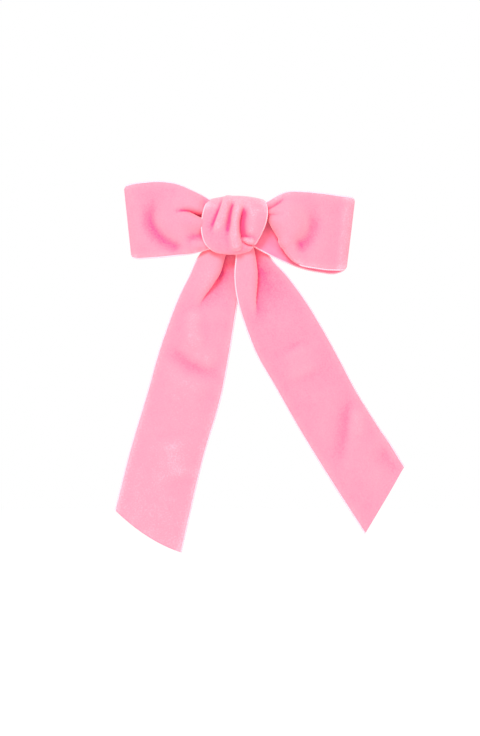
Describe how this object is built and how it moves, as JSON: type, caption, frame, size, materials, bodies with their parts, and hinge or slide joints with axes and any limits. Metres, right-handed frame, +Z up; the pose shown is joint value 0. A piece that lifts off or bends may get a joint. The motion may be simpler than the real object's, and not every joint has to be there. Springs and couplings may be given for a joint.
{
  "type": "hair barrette with ribbon bow",
  "caption": "Tied velvet ribbon bow with two long slant-cut tails, lashed to an arched snap barrette with a hinged clasp arm, a tension bow and a pinch catch.",
  "frame": {"origin": "middle of the channel that the hair lies in, between the tension bow and the clasp arm", "axes": "+X along the clip towards the catch, +Z up along the hair channel with the tails hanging down, -Y outward from the head where the bow faces"},
  "size_m": [0.1494, 0.0309, 0.1907],
  "materials": {
    "plated_steel": "nickel plate over stamped steel, softly polished",
    "spring_steel": "nickel plate over spring steel",
    "grosgrain": "woven polyester grosgrain, cross ribbed",
    "thread": "polyester sewing thread",
    "velvet": "short pile velvet with pale woven edges"
  },
  "bodies": {
    "clip": {"clip_plate": "plated_steel", "hinge_pin": "plated_steel", "catch_base": "spring_steel", "catch_rivet": "plated_steel", "plate_lining": "grosgrain", "lashing_thread": "thread", "knot_core": "velvet", "knot_wrap": "velvet", "loop_left": "velvet", "loop_right": "velvet", "tail_left": "velvet", "tail_right": "velvet"},
    "clasp": {"clasp_arm": "plated_steel"},
    "spring_bow": {"tension_bow": "spring_steel"},
    "wing_upper": {"catch_wing_upper": "spring_steel"},
    "wing_lower": {"catch_wing_lower": "spring_steel"}
  },
  "joints": [
    {"name": "clasp_swing", "type": "hinge", "parent": "clip", "child": "clasp", "pos_m": [-0.0365, 0.0034, 0], "axis": [0, 0, 1], "range_deg": [0, 100]},
    {"name": "tension_bow_press", "type": "hinge", "parent": "clip", "child": "spring_bow", "pos_m": [-0.0365, 0.0034, 0], "axis": [0, 0, -1], "range_deg": [0, 2.2], "stiffness_Nm_per_rad": 0.2, "springref_deg": -2.86},
    {"name": "wing_upper_squeeze", "type": "hinge", "parent": "clip", "child": "wing_upper", "pos_m": [0.0388, 0.0036, 0.0036], "axis": [0, 1, 0], "range_deg": [0, 9], "stiffness_Nm_per_rad": 0.01, "springref_deg": -5.73},
    {"name": "wing_lower_squeeze", "type": "hinge", "parent": "clip", "child": "wing_lower", "pos_m": [0.0388, 0.0036, -0.0036], "axis": [0, -1, 0], "range_deg": [0, 9], "stiffness_Nm_per_rad": 0.01, "springref_deg": -5.73}
  ]
}
